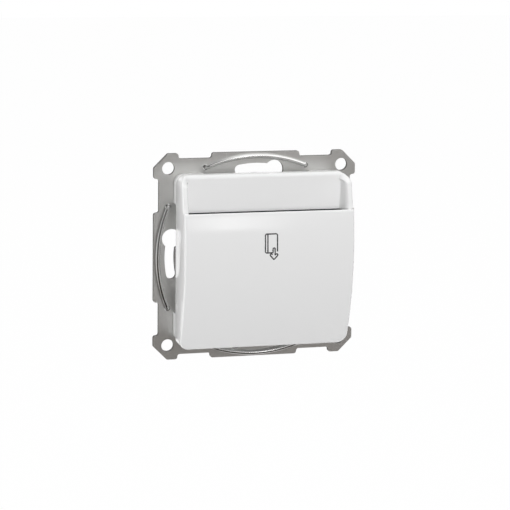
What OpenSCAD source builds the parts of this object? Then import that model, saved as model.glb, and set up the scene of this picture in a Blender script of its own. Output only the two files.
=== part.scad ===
// Hotel key card switch: an insert for a round flush box. A card pushed down into the slot swings a
// sprung lever, which presses a plunger and throws a change-over contact behind the support plate.
// Millimetres. X to the right, Z up, the front faces -Y, and y = 0 is the back face of the plate.
// A "depth" counts forwards from that face, and a "back" value counts rearwards from it.

/* [Support plate] */
// Width and height over the corner lugs
plate_w = 71; // [70:0.5:74]
// Sheet thickness
plate_t = 1.4; // [1:0.1:1.8]
// Length of a corner lug along its edge
lug_l = 8.5; // [7.5:0.1:9.5]
// Chamfer on the corner of a lug
lug_chamfer = 4.8; // [3.5:0.1:5.4]
// Depth of the notches beside the edge tabs
notch_d = 1.8; // [1:0.1:2.2]
// Length of the tab in the middle of each edge
tab_l = 30.8; // [27:0.2:33]
// Rounding of the sheet's corners
sheet_r = 0.8; // [0.3:0.1:1]
// Distance of the corner screw holes from the plate's edges
corner_inset = 5; // [4.6:0.1:5.4]
// Diameter of the corner screw holes
corner_hole_d = 4.3; // [3.6:0.1:4.6]
// Distance of the box screws' pitch circle from the plate's edges
slot_inset = 5.5; // [5.3:0.1:5.7]
// Width of the box screw slots
slot_w = 3.4; // [3:0.1:3.8]
// Diameter of the round head of each slot
slot_head_d = 6.6; // [6:0.1:7]
// Angle from the edge's middle to the head of the slot
slot_head_angle = 12.5; // [11:0.5:14]
// Angle from the edge's middle to the plain end of the slot
slot_end_angle = 11; // [9:0.5:13]
// Width of the square window in the plate
window_w = 28; // [24:0.5:29]

/* [Frame springs] */
// Wire diameter
wire_d = 1.5; // [1.2:0.1:1.7]
// Distance between the two legs of a spring
leg_pitch = 35; // [33:0.5:36]
// Distance of the legs from the plate's edge
leg_inset = 4.9; // [4.5:0.1:5.1]
// How far the bow stands out beyond the legs
bow_rise = 3.6; // [3:0.1:4]
// Bend radius at the legs
bend_r = 1.1; // [1:0.1:1.2]
// Length of a leg that shows behind the plate
leg_out = 1; // [0.6:0.1:1.6]

/* [Cover] */
// Width and height of the cover at its back edge
cover_w = 59; // [58.6:0.1:59.6]
// Depth of the cover's back edge
cover_back = 8.4; // [8:0.1:9]
// Depth of the crown's highest line
crown_h = 21.5; // [21:0.1:22]
// Radius of the crowned front
crown_r = 78; // [70:1:90]
// Height of the crown's highest line above the middle
crown_z = 4; // [2:0.5:6]
// How far each side wall leans in from back to front
side_lean = 0.2; // [0.1:0.1:0.6]
// Corner radius in front view
cover_corner_r = 3.4; // [3:0.1:4]
// Rounding between the walls and the front
edge_r = 0.5; // [0.4:0.1:1]
// Thickness of the front panel
panel_t = 2; // [1.6:0.1:2.1]
// Thickness of the bottom wall
bottom_t = 2; // [1.5:0.1:2.5]
// How far the cheeks beside the slot lie behind the front panel
cheek_setback = 1.2; // [1.1:0.1:1.5]

/* [Card pocket] */
// Width of a card
card_w = 54; // [53.6:0.1:54.2]
// Free play beside the card, on each side
card_play = 0.5; // [0.3:0.1:0.7]
// Depth of the guide surface that the card slides on
guide_h = 12.4; // [12:0.1:12.5]
// Thickness of the guide wall
guide_t = 2; // [1.6:0.1:2.2]
// Height of the lip of the front panel
lip_z = 17.7; // [17:0.1:18.2]
// Rounding of the lip's front edge
lip_r = 0.4; // [0.3:0.1:0.6]
// How far the lip falls towards the slot
lip_drop = 0.6; // [0.4:0.1:0.8]
// How far the recessed face above the slot reaches down below the lip
face_drop = 0.8; // [0.8:0.1:1.2]
// Rounding of the top edge above the recessed face
face_top_r = 1.2; // [0.8:0.1:1.8]
// Hollow rounding between the recessed face and the cheeks
cheek_r = 1.6; // [1:0.1:1.8]
// Depth of the channel that the ribs behind the panel leave for the card
channel = 2.2; // [1.6:0.1:2.6]
// Height at which the card stops
card_stop_z = -15; // [-15.4:0.1:-14]
// Height of the lower end of the guide
guide_low_z = -20.4; // [-20.6:0.1:-19.8]

/* [Carrier] */
// Room between the carrier's wall and the inside of the cover
carrier_gap = 2; // [1.6:0.1:2.4]
// Wall thickness of the carrier
carrier_wall = 2; // [1.6:0.1:2.2]
// Thickness of the carrier's base
carrier_base_t = 1.8; // [1.4:0.1:2]
// How far the corner skirts lie inside the cover's outline
skirt_inset = 0.8; // [0.5:0.1:1.2]
// Length of a snap hook along the wall
hook_l = 7; // [5:0.5:9]
// Distance of the snap hooks from the middle
hook_z = 9; // [7:0.5:10]

/* [Card lever] */
// Height of the lever's pivot
pivot_z = 4; // [3:0.1:5]
// Depth of the lever's pivot
pivot_h = 7.4; // [7.3:0.05:7.6]
// Diameter of the pivot pin
lever_pin_d = 2; // [1.6:0.1:2.2]
// Width of the lever
lever_w = 8; // [6:0.2:9]
// Thickness of the lever's arm
arm_t = 2; // [1.6:0.1:2.2]
// Height of the tip of the toe
toe_z = -12.6; // [-13:0.1:-12]
// How far the toe stands into the card pocket
toe_out = 2.6; // [2.2:0.1:2.7]
// Swing of the lever when a card is in, degrees
lever_swing = 9; // [8:0.1:9.2]

/* [Switch] */
// Height of the plunger's axis
plunger_z = -7; // [-7.4:0.1:-6.6]
// Diameter of the plunger's stem
stem_d = 4.4; // [3.8:0.1:4.6]
// Diameter of the plunger's head
head_d = 8.4; // [8:0.1:9]
// Thickness of the plunger's head
head_t = 1.2; // [1:0.1:1.4]
// Wire of the return spring
coil_wire_d = 0.7; // [0.5:0.05:0.75]
// Turns of the return spring
coil_turns = 4; // [3:0.5:4]
// Distance of the contact blade's pivot below the housing's top
blade_drop = 13.5; // [13:0.1:14]
// Distance of the blade's pivot behind the plate
blade_back = 9; // [8.8:0.1:9.4]
// Thickness of the contact strips
strip_t = 0.8; // [0.6:0.1:0.9]
// Width of the contact blade
blade_w = 5; // [4:0.2:5.6]
// Diameter of the blade's pin
blade_pin_d = 1.6; // [1.2:0.1:1.8]
// Diameter of the contact rivets
rivet_d = 3.4; // [2.8:0.1:3.8]
// Distance of the contact rivets above the housing's floor
contact_rise = 8; // [7.6:0.1:8.4]

/* [Housing] */
// Width and height of the rear housing
housing_w = 43; // [42:0.2:45]
// Chamfer on the housing's corners
housing_chamfer = 5; // [4:0.1:5.6]
// Thickness of the housing's lid
lid_t = 2.8; // [2.4:0.1:3]
// How far the housing stands behind the plate
housing_back = 20; // [19:0.5:24]
// Diameter of the wire entries
wire_hole_d = 3.4; // [2.8:0.1:3.6]
// Diameter of the funnel at the mouth of a wire entry
funnel_d = 5.2; // [4.6:0.1:6]
// Diameter of the terminal screws
screw_d = 3; // [2.5:0.1:3.2]
// Diameter of the terminal screws' heads
screw_head_d = 4.8; // [4.4:0.1:5.2]
// Diameter of the rivets that hold the housing
tie_d = 2.5; // [2:0.1:3]
// Distance of those rivets from the middle
tie_x = 17; // [16.4:0.1:18]

/* [Hidden] */
$fn = 48;

// Clearances: for parts laid or slid together, for pins driven in, for running parts, and past a cut
fit = 0.1;
press = 0.02;
run = 0.05;
over = 1;
// Gap that a moving part keeps to what it pushes
touch = 0.15;

// Plate
spring_depth = plate_t + wire_d / 2 + fit;
leg_play = 0.4;
leg_hole_d = wire_d + leg_play;
corner_pitch = plate_w - 2 * corner_inset;
box_pitch = plate_w - 2 * slot_inset;
leg_reach = plate_w / 2 - leg_inset;
window_r = 2;
quarter_turns = [0, 90, 180, 270];

// Frame spring bow: an arc of bow_r through the legs' bends
leg_half = leg_pitch / 2;
bow_r = (leg_half * leg_half + bow_rise * bow_rise) / (2 * bow_rise);
bow_angle = asin(leg_half / norm([bow_r, bend_r])) - atan2(bend_r, bow_r);
bow_mid_z = leg_reach + bend_r * sin(bow_angle) - bow_r * cos(bow_angle);
bow_steps = 10;
bend_steps = 5;
wire_sides = 10;

// Cover
cover_half = cover_w / 2;
crown_axis = crown_h - crown_r;
pocket_half = card_w / 2 + card_play;
guide_back = guide_h - guide_t;
lean = side_lean / (crown_h - cover_back);
corner_steps = 6;
side_steps = 8;
cheek_steps = 3;
edge_steps = 4;
lip_steps = 6;
panel_steps = 10;
rib_steps = 6;
ledge_z = lip_z - lip_r;
lip_inner_z = lip_z - lip_drop;
ledge_rise = 0.05;
pocket_low_z = bottom_t - cover_half;
face_low_z = lip_z - face_drop;
roof_t = 2;
roof_z = cover_half - roof_t;
hollow_steps = 6;
guide_high_z = face_low_z - fit;
shoulder_h = 2;
guide_shoulder_z = guide_high_z - shoulder_h;
guide_half = pocket_half - fit;
carrier_half = pocket_half - carrier_gap;
guide_low_half = carrier_half - carrier_wall - fit;
stop_t = 2;
stop_from = 8;
stop_gap = 0.3;
snap_catch = 0.9;
catch_gap = 0.2;
rib_root = 0.8;
card_rib_t = 1.2;
card_rib_spots = [10, 20];
card_rib_gap = 1;
card_rib_low_z = card_stop_z + card_rib_gap;
card_rib_drop = 4;
card_rib_high_z = lip_z - card_rib_drop;

// Carrier: its corner skirts leave a bay for the spring and the box screw in the middle of each side
carrier_r = 3;
carrier_inner_r = carrier_r - carrier_wall / 2;
skirt_half = cover_half - skirt_inset;
skirt_gap = 0.3;
skirt_h = cover_back - skirt_gap;
bay_play = 0.5;
bay_w = leg_pitch + wire_d + 2 * bay_play;
shelf_t = 1.8;
hook_rise = 0.5;
hook_low = guide_back + hook_rise;
hook_short = 0.2;
hook_high = guide_h - hook_short;
hook_gap = 0.4;
hook_reach = pocket_half - hook_gap;
hook_nose = 0.4;

// Card lever
hub_wall = 1.2;
hub_r = lever_pin_d / 2 + hub_wall;
lug_t = 2.4;
lug_wall = 1.4;
lug_r = lever_pin_d / 2 + lug_wall;
hub_over = 0.9;
hub_half = lever_w / 2 + hub_over;
lug_gap = 0.3;
lug_neck = 0.8;
lug_web = 2 * lug_r - lug_neck;
lug_root = 0.5;
arm_back = pivot_h - arm_t / 4;
arm_below = 3.4;
arm_low_z = toe_z - arm_below;
toe_h = guide_h + toe_out;
toe_ramp = 7.4;
toe_top_z = toe_z + toe_ramp;
toe_play = 0.4;
toe_flat = 0.7;
lever_r = 0.4;
nose_r = 1.2;
nose_arm = pivot_z - plunger_z;
nose_drop = arm_back - pivot_h;

// Plunger: it follows the nose of the lever
head_h = arm_back - nose_r - touch;
travel = nose_arm * sin(lever_swing) + nose_drop * (1 - cos(lever_swing));
head_back = head_h - head_t;
boss_over = 0.8;
boss_h = plate_t + boss_over;
well_wall = 1.6;
well_play = 0.3;
spring_well_d = head_d - 2 * well_play;
boss_d = spring_well_d + 2 * well_wall;
spring_well_back = 1.2;
collar_over = 1;
collar_d = stem_d + 2 * collar_over;
collar_t = 1;
collar_gap = 0.2;
tip_c = 0.5;
collar_back = lid_t + collar_gap;
blade_front = blade_back - strip_t / 2;
stem_end = blade_front - touch;

// Return spring
coil_r = (spring_well_d - coil_wire_d) / 2 - fit;
coil_low = -spring_well_back + coil_wire_d / 2 + fit;
coil_high = head_back - coil_wire_d / 2 - fit;
coil_rings = 8;
coil_sides = 6;
coil_count = ceil(coil_turns * coil_rings);

// Contacts: the blade swings until its rivet meets the make rivet
housing_half = housing_w / 2;
blade_z = housing_half - blade_drop;
contact_z = contact_rise - housing_half;
blade_swing = asin(travel / (blade_z - plunger_z));
rivet_edge = 0.6;
blade_low_z = contact_z - rivet_d / 2 - rivet_edge;
rivet_t = 0.8;
rest_gap = 0.2;
moving_front = blade_front - rivet_t;
moving_rear = blade_back + strip_t / 2 + rivet_t;
break_face = moving_front - rest_gap;
contact_arm = blade_z - contact_z + rivet_d / 2;
make_face = blade_back + (moving_rear - blade_back) * cos(blade_swing) + contact_arm * sin(blade_swing) + touch;
strip_w = 5;
strip_edge = 0.8;
strip_over = rivet_d / 2 + strip_edge;
foot_l = 5.6;
ear_gap = 0.7;
ear_w = 4;
bracket_rise = 4;
bracket_z = blade_z + bracket_rise;
bracket_lead = 3;
bracket_front = blade_back - bracket_lead;
bracket_l = 8;

// Terminals: pillars of brass, two below and one above
pillar_w = 7;
pillar_h = 8;
pillar_l = 10;
pad_h = 2.2;
pillar_front = lid_t + pad_h;
chamber_half = 10;
pillar_x = chamber_half + pillar_w / 2;
pillar_below = 2;
pillar_low_z = contact_z - strip_w / 2 - pillar_below;
pillar_mids = [[-pillar_x, pillar_low_z + pillar_h / 2, -1],
               [pillar_x, pillar_low_z + pillar_h / 2, -1],
               [0, bracket_z + pillar_h / 2, 1]];
screw_y = pillar_front + pillar_l / 2;
screw_head_t = 1.8;
screw_slot_w = 0.8;
chamber_gap = 1.2;
chamber_low_z = blade_low_z - chamber_gap;
make_back = make_face + rivet_t + strip_t;
tie_high_z = 13;
tie_low_z = -5;
tie_spots = [[-tie_x, tie_high_z], [tie_x, tie_high_z], [-tie_x, tie_low_z], [tie_x, tie_low_z]];
funnel_l = 1;
recess_w = 16;
recess_h = 9;
recess_t = 0.4;
recess_r = 1;
tie_head_d = 5;
tie_head_t = 0.9;
tie_back = 14;

function unit(v) = v / norm(v);
function wrap(a) = a > 180 ? a - 360 : a < -180 ? a + 360 : a;
function arc(centre, r, from, to, steps) =
  [for (i = [0 : steps]) centre + r * [cos(from + (to - from) * i / steps), sin(from + (to - from) * i / steps)]];

// Outline with each corner turned into an arc, which its shorter side limits
function corner_arc(a, b, c, r, steps) =
  let (
    u = unit(a - b),
    v = unit(c - b),
    half = acos(u * v) / 2,
    cut = min(r / tan(half), 0.49 * min(norm(a - b), norm(c - b))),
    arc_r = cut * tan(half),
    centre = b + unit(u + v) * arc_r / sin(half),
    first = b + u * cut - centre,
    last = b + v * cut - centre,
    from = atan2(first.y, first.x),
    sweep = wrap(atan2(last.y, last.x) - from)
  ) arc(centre, arc_r, from, from + sweep, steps);
function rounded(points, r, steps = 3) =
  let (n = len(points))
  [for (i = [0 : n - 1]) each corner_arc(points[(i + n - 1) % n], points[i], points[(i + 1) % n], r, steps)];
function box(w, h) = [[-w / 2, -h / 2], [w / 2, -h / 2], [w / 2, h / 2], [-w / 2, h / 2]];
function span(x0, x1, z0, z1) = [[x0, z0], [x1, z0], [x1, z1], [x0, z1]];
function chamfered(w, c) =
  [for (k = [0 : 3], p = [[c - w / 2, -w / 2], [w / 2 - c, -w / 2]])
    [p.x * cos(90 * k) - p.y * sin(90 * k), p.x * sin(90 * k) + p.y * cos(90 * k)]];

// A front-view outline (x, z) carried from one depth to another
module forward(from, to) translate([0, -from, 0]) rotate([90, 0, 0]) linear_extrude(to - from) children();
// A side-view outline (y, z) carried across from one x to another
module across(from, to) translate([from, 0, 0]) rotate([90, 0, 90]) linear_extrude(to - from) children();
// A round bar or hole that runs from one depth to another
module bar(x, z, d, from, to) translate([x, -from, z]) rotate([90, 0, 0]) cylinder(d = d, h = to - from);
// A round bar or hole that runs across, centred on x = 0
module cross_bar(depth, z, d, l) translate([-l / 2, -depth, z]) rotate([0, 90, 0]) cylinder(d = d, h = l);
module both_sides() {
  children();
  mirror([1, 0, 0]) children();
}

// Support plate
function plate_edge() =
  let (
    edge = plate_w / 2,
    lug = edge - lug_l,
    low = edge - notch_d,
    tab = tab_l / 2,
    tip = edge - lug_chamfer
  ) [[-tip, edge], [-lug, edge], [-lug, low], [-tab, low], [-tab, edge],
     [tab, edge], [tab, low], [lug, low], [lug, edge], [tip, edge]];
function plate_outline() =
  [for (turn = quarter_turns, p = plate_edge())
    [p.x * cos(turn) + p.y * sin(turn), p.y * cos(turn) - p.x * sin(turn)]];

// Keyhole slot across the top edge: its round head to the right, its plain end to the left
module box_slot() {
  r = box_pitch / 2;
  head = 90 - slot_head_angle;
  tail = 90 + slot_end_angle;
  tail_mid = r * [cos(tail), sin(tail)];
  forward(-over, plate_t + over) polygon(concat(
    arc([0, 0], r + slot_w / 2, head, tail, 8),
    arc(tail_mid, slot_w / 2, tail, tail + 180, 8),
    arc([0, 0], r - slot_w / 2, tail, head, 8)
  ));
  bar(r * cos(head), r * sin(head), slot_head_d, -over, plate_t + over);
}

module support_plate() color("silver") difference() {
  forward(0, plate_t) polygon(rounded(plate_outline(), sheet_r));
  for (turn = quarter_turns) rotate([0, turn, 0]) {
    bar(corner_pitch / 2, corner_pitch / 2, corner_hole_d, -over, plate_t + over);
    box_slot();
    both_sides() bar(leg_half, leg_reach, leg_hole_d, -over, plate_t + over);
  }
  forward(-over, plate_t + over) polygon(rounded(box(window_w, window_w), window_r));
  for (p = tie_spots) bar(p.x, p.y, tie_d + 2 * fit, -over, plate_t + over);
}

// A tube along stations, each a point, a direction square to the run, and the direction of the run
module tube(stations, d, sides) {
  last = len(stations) - 1;
  polyhedron(
    [for (s = stations, k = [0 : sides - 1])
      let (side = unit(cross(s[2], s[1])), a = 360 * k / sides)
      s[0] + d / 2 * (cos(a) * s[1] + sin(a) * side)],
    concat(
      [[for (k = [0 : sides - 1]) k]],
      [for (i = [0 : last - 1], k = [0 : sides - 1])
        let (a = i * sides, n = (k + 1) % sides)
        each [[a + k, a + sides + k, a + n], [a + n, a + sides + k, a + sides + n]]],
      [[for (k = [sides - 1 : -1 : 0]) last * sides + k]]
    )
  );
}

// Frame spring on the top edge: a bow of wire whose ends bend back through the plate
function bow_stations() =
  let (
    back = [0, 1, 0],
    end_out = [sin(bow_angle), 0, cos(bow_angle)],
    end_run = [cos(bow_angle), 0, -sin(bow_angle)],
    bow = [for (i = [-bow_steps : bow_steps]) let (a = bow_angle * i / bow_steps)
      [bow_r * [sin(a), 0, cos(a)], [sin(a), 0, cos(a)], [cos(a), 0, -sin(a)]]],
    bend = [for (i = [1 : bend_steps]) let (a = 90 * i / bend_steps)
      [bow_r * end_out + bend_r * (sin(a) * end_run + (1 - cos(a)) * back), end_out, cos(a) * end_run + sin(a) * back]],
    tip = [bow_r * end_out + bend_r * end_run + (spring_depth + leg_out) * back, end_out, back],
    right = concat(bend, [tip]),
    left = [for (i = [bend_steps : -1 : 0]) let (s = right[i])
      [[-s[0].x, s[0].y, s[0].z], [-s[1].x, s[1].y, s[1].z], [s[2].x, -s[2].y, -s[2].z]]]
  ) concat(left, bow, right);

module frame_spring(turn) color("gainsboro") rotate([0, turn, 0])
  translate([0, -spring_depth, bow_mid_z]) tube(bow_stations(), wire_d, wire_sides);

// Depth of the crowned front at height z, on the crown or on a surface parallel to it
function crown(z, inset = 0) = crown_axis + sqrt(pow(crown_r - inset, 2) - pow(z - crown_z, 2));

// Depth of the front with the cheeks set back above the lip
function front(z) = crown(z) - (
  z <= ledge_z ? 0 :
  z <= lip_z + ledge_rise / 2 ? lip_r - sqrt(max(0, pow(lip_r, 2) - pow(z - ledge_z, 2))) : cheek_setback);

// Spots round the cover in front view, each a point inside it and the direction outwards from there
function corner_spots(centre, from) =
  [for (i = [0 : corner_steps]) let (a = from + 90 * i / corner_steps) [centre, [cos(a), sin(a)]]];
function cover_spots() =
  let (
    m = cover_half - cover_corner_r,
    low = [for (i = [1 : side_steps]) -m + (ledge_z + m) * i / side_steps],
    lip = [for (i = [1 : lip_steps]) ledge_z + lip_r * sin(90 * i / lip_steps)],
    foot = lip_z + ledge_rise,
    cheek = [for (i = [0 : cheek_steps - 1]) foot + (m - foot) * i / cheek_steps],
    rise = concat(low, lip, cheek)
  ) concat(
    corner_spots([m, -m], -90), [for (z = rise) [[m, z], [1, 0]]], corner_spots([m, m], 0),
    corner_spots([-m, m], 90), [for (i = [len(rise) - 1 : -1 : 0]) [[-m, rise[i]], [-1, 0]]],
    corner_spots([-m, -m], 180)
  );
function cover_point(spot, inset) = spot[0] + (cover_corner_r - inset) * spot[1];

// Depth of the front at a spot: round the top corners the cheeks sink to the recessed face
function cheek_share(spot) = spot[0].y > 0 && spot[1].y > 0 ? pow(spot[1].x, 2) : 1;
function spot_depth(spot) = guide_h + (front(cover_point(spot, 0).y) - guide_h) * cheek_share(spot);
function spot_edge(spot) = face_top_r + (edge_r - face_top_r) * cheek_share(spot);

// Loft from the straight back edge up the leaning walls, round the edge and over the front
module cover_block() {
  spots = cover_spots();
  levels = [for (i = [0 : edge_steps]) let (a = 90 * i / edge_steps) [1 - cos(a), 1 - sin(a)]];
  rings = concat(
    [[for (s = spots) let (p = cover_point(s, 0)) [p.x, -cover_back, p.y]]],
    [for (level = levels) [for (s = spots)
      let (
        depth = spot_depth(s) - spot_edge(s) * level.y,
        p = cover_point(s, lean * (depth - cover_back) + spot_edge(s) * level.x)
      ) [p.x, -depth, p.y]]]
  );
  count = len(spots);
  half = count / 2;
  last = len(rings) - 1;
  walls = [for (k = [0 : last - 1], i = [0 : count - 1]) let (j = (i + 1) % count)
    each [[k * count + i, k * count + count + i, k * count + j],
          [k * count + j, k * count + count + i, k * count + count + j]]];
  back = [for (i = [0 : half - 2])
    each [[i, i + 1, count - 1 - i], [i + 1, count - 2 - i, count - 1 - i]]];
  face = [for (i = [0 : half - 2]) let (f = last * count)
    each [[f + i, f + count - 1 - i, f + i + 1], [f + i + 1, f + count - 1 - i, f + count - 2 - i]]];
  polyhedron([for (ring = rings) each ring], concat(walls, back, face));
}

// Side view of what the cover leaves open: the card pocket behind the panel, the recess above the sloped lip,
// and the hollow behind the recessed face
function pocket_profile() =
  let (
    lip_mid = [-crown(ledge_z, lip_r), ledge_z],
    rise = lip_inner_z - pocket_low_z
  ) concat(
    [[over - cover_back, pocket_low_z]],
    [for (i = [0 : panel_steps]) let (z = pocket_low_z + rise * i / panel_steps) [-crown(z, panel_t), z]],
    [for (i = [lip_steps - 1 : 2 * lip_steps - 1]) let (a = 90 * i / lip_steps) lip_mid + lip_r * [cos(a), sin(a)]],
    [[-crown_h - over, ledge_z], [-crown_h - over, cover_half + over], [-guide_h, cover_half + over],
     [-guide_h, face_low_z], [-guide_back, face_low_z], [-guide_back, roof_z], [over - cover_back, roof_z]]
  );

// Front-to-back section of the hollow rounding beside the recessed face
function cheek_hollow() = concat(
  arc([pocket_half - cheek_r, -guide_h - cheek_r], cheek_r, 90, 0, hollow_steps),
  [[pocket_half + rib_root, -guide_h - cheek_r], [pocket_half + rib_root, rib_root - guide_h],
   [pocket_half - cheek_r, rib_root - guide_h]]
);

// Side view of a rib behind the panel, which keeps the card against the guide
function card_rib() =
  let (edge = guide_h + channel, rise = card_rib_high_z - card_rib_low_z) concat(
    [[-edge, card_rib_low_z]],
    [for (i = [0 : rib_steps]) let (z = card_rib_low_z + rise * i / rib_steps) [-crown(z, panel_t / 2), z]],
    [[-edge, card_rib_high_z - channel]]
  );

module front_cover() color("white") {
  difference() {
    cover_block();
    across(-pocket_half, pocket_half) polygon(pocket_profile());
  }
  intersection() {
    cover_block();
    both_sides() translate([0, 0, face_low_z]) linear_extrude(cover_half - face_low_z) polygon(cheek_hollow());
  }
  for (x = card_rib_spots) both_sides() across(x, x + card_rib_t) polygon(card_rib());
  // Ribs inside the side walls, which the snap hooks of the carrier hold
  for (z = [-hook_z, hook_z]) both_sides()
    translate([hook_reach - snap_catch, catch_gap - hook_low, z - hook_l / 2])
      cube([pocket_half - hook_reach + snap_catch + rib_root, hook_low - cover_back - 2 * catch_gap, hook_l]);
}

// Card guide: the wall below the recessed face that the card slides down, with the lever's bearings
function guide_outline() = [
  [-guide_low_half, guide_low_z], [guide_low_half, guide_low_z],
  [guide_low_half, guide_shoulder_z], [guide_half, guide_shoulder_z],
  [guide_half, guide_high_z], [-guide_half, guide_high_z],
  [-guide_half, guide_shoulder_z], [-guide_low_half, guide_shoulder_z]
];

module card_guide() color("dimgray") difference() {
  union() {
    forward(guide_back, guide_h) polygon(guide_outline());
    // Stops that the card's lower edge lands on
    both_sides() across(stop_from, guide_low_half) polygon(span(
      stop_gap - crown(card_stop_z - stop_t, panel_t), -guide_back, card_stop_z - stop_t, card_stop_z));
    // Bearing lugs for the lever's pin
    both_sides() across(hub_half + lug_gap, hub_half + lug_gap + lug_t) {
      translate([-pivot_h, pivot_z]) circle(r = lug_r);
      polygon(span(-guide_back - lug_root, -pivot_h, pivot_z - lug_web / 2, pivot_z + lug_web / 2));
    }
  }
  forward(guide_back - over, guide_h + over)
    polygon(span(-lever_w / 2 - toe_play, lever_w / 2 + toe_play, arm_low_z - over, toe_top_z + over));
  cross_bar(pivot_h, pivot_z, lever_pin_d + 2 * press, 2 * pocket_half);
}

// Carrier between the plate and the cover: a walled frame with corner skirts, a shelf and snap hooks
module carrier_outline(half, r) difference() {
  polygon(rounded(box(2 * half, 2 * half), r));
  for (turn = quarter_turns) rotate(turn) polygon(span(-bay_w / 2, bay_w / 2, carrier_half, skirt_half + over));
}

module cover_carrier() color("whitesmoke") difference() {
  union() {
    forward(plate_t, plate_t + carrier_base_t) carrier_outline(skirt_half, carrier_r);
    forward(plate_t, skirt_h) difference() {
      carrier_outline(skirt_half, carrier_r);
      polygon(rounded(box(2 * (skirt_half - carrier_wall), 2 * (skirt_half - carrier_wall)), carrier_inner_r));
    }
    forward(plate_t, guide_back) difference() {
      polygon(rounded(box(2 * carrier_half, 2 * carrier_half), carrier_r));
      polygon(rounded(box(2 * (carrier_half - carrier_wall), 2 * (carrier_half - carrier_wall)), carrier_inner_r));
    }
    forward(plate_t, guide_back)
      polygon(span(over - carrier_half, carrier_half - over, guide_low_z, guide_low_z + shelf_t));
    for (z = [-hook_z, hook_z]) both_sides() translate([0, 0, z - hook_l / 2]) linear_extrude(hook_l) polygon([
      [carrier_half - carrier_wall, over - guide_back], [carrier_half, over - guide_back],
      [carrier_half, -hook_low], [hook_reach, -hook_low],
      [hook_reach, -hook_low - hook_nose], [carrier_half, -hook_high], [carrier_half - carrier_wall, -hook_high]
    ]);
  }
  forward(plate_t - over, plate_t + carrier_base_t + over) polygon(rounded(box(window_w, window_w), window_r));
  for (p = tie_spots) bar(p.x, p.y, tie_d + 2 * fit, plate_t - over, plate_t + carrier_base_t + over);
}

// Card lever: hub, arm, a toe with a ramp for the card's edge, a nose for the plunger and a rest stop
module card_lever() color("gainsboro") difference() {
  union() {
    cross_bar(pivot_h, pivot_z, 2 * hub_r, 2 * hub_half);
    across(-lever_w / 2, lever_w / 2) polygon(rounded([
      [-arm_back, pivot_z], [-arm_back, arm_low_z], [-arm_back - arm_t, arm_low_z],
      [-toe_h, toe_z - toe_flat], [-toe_h, toe_z],
      [-arm_back - arm_t, toe_top_z], [-arm_back - arm_t, pivot_z]
    ], lever_r));
    cross_bar(arm_back, plunger_z, 2 * nose_r, lever_w);
    across(-lever_w / 2, lever_w / 2)
      polygon(span(touch - guide_back, -arm_back - arm_t / 2, toe_top_z + toe_play + over, pivot_z - hub_r - over));
  }
  cross_bar(pivot_h, pivot_z, lever_pin_d + 2 * run, 2 * pocket_half);
}

module lever_pin() color("silver") cross_bar(pivot_h, pivot_z, lever_pin_d, 2 * (hub_half + lug_gap + lug_t));

// Plunger: head, stem, a collar that stops behind the lid and a chamfered tip
module plunger() color("lightgray") translate([0, 0, plunger_z]) rotate([90, 0, 0]) rotate_extrude() polygon([
  [0, -stem_end], [stem_d / 2 - tip_c, -stem_end], [stem_d / 2, tip_c - stem_end],
  [stem_d / 2, -collar_back - collar_t], [collar_d / 2, -collar_back - collar_t],
  [collar_d / 2, -collar_back], [stem_d / 2, -collar_back],
  [stem_d / 2, head_back], [head_d / 2, head_back], [head_d / 2, head_h - tip_c],
  [head_d / 2 - tip_c, head_h], [0, head_h]
]);

// Return spring: one tube along a helix about the plunger's stem
function coil_station(t) =
  let (
    a = 360 * coil_turns * t,
    out = [cos(a), 0, sin(a)],
    rise = coil_high - coil_low,
    run = 2 * PI * coil_turns * coil_r * [-sin(a), 0, cos(a)] - [0, rise, 0]
  ) [coil_r * out + [0, -coil_low - rise * t, plunger_z], out, unit(run)];
coil_stations = [for (i = [0 : coil_count]) coil_station(i / coil_count)];
coil_gap = min([for (i = [0 : coil_count], j = [0 : coil_count])
  if (j - i >= coil_rings / 2) norm(coil_stations[i][0] - coil_stations[j][0])]) - coil_wire_d;
echo(coil_gap = coil_gap);

module plunger_spring() color("gainsboro") tube(coil_stations, coil_wire_d, coil_sides);

// Lid of the rear housing: guides the plunger, holds the return spring's well and presses on the pillars
module mechanism_lid() color("lightgray") difference() {
  union() {
    forward(-lid_t, 0) polygon(chamfered(housing_w, housing_chamfer));
    bar(0, plunger_z, boss_d, -lid_t / 2, boss_h);
    for (p = pillar_mids) translate([p.x, 0, p.y])
      forward(fit - pillar_front, -lid_t / 2) polygon(box(pillar_w - over, pillar_h - over));
  }
  bar(0, plunger_z, spring_well_d, -spring_well_back, boss_h + over);
  bar(0, plunger_z, stem_d + 2 * run, -lid_t - over, over);
  for (p = tie_spots) bar(p.x, p.y, tie_d + 2 * fit, -lid_t - over, over);
}

// Rear housing: contact chamber, pockets for the pillars, wire entries and screw openings
module rear_housing() color("lightgray") difference() {
  forward(-housing_back, -lid_t) polygon(chamfered(housing_w, housing_chamfer));
  forward(-make_back, over - lid_t) polygon(span(-chamber_half, chamber_half, chamber_low_z, bracket_z));
  for (p = pillar_mids) {
    translate([p.x, 0, p.y]) forward(-pillar_front - pillar_l - fit, over - lid_t)
      polygon(box(pillar_w + 2 * fit, pillar_h + 2 * fit));
    bar(p.x, p.y, wire_hole_d, -housing_back - over, -screw_y);
    translate([p.x, housing_back - funnel_l, p.y]) rotate([-90, 0, 0])
      cylinder(d1 = wire_hole_d, d2 = funnel_d, h = funnel_l);
    translate([p.x, screw_y, p.y]) rotate([p.z < 0 ? 180 : 0, 0, 0])
      cylinder(d = screw_head_d + 6 * fit, h = housing_half);
  }
  for (p = tie_spots) bar(p.x, p.y, tie_d + 2 * press, -tie_back - fit, over - lid_t);
  forward(-housing_back - over, recess_t - housing_back) polygon(rounded(box(recess_w, recess_h), recess_r));
}

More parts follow.
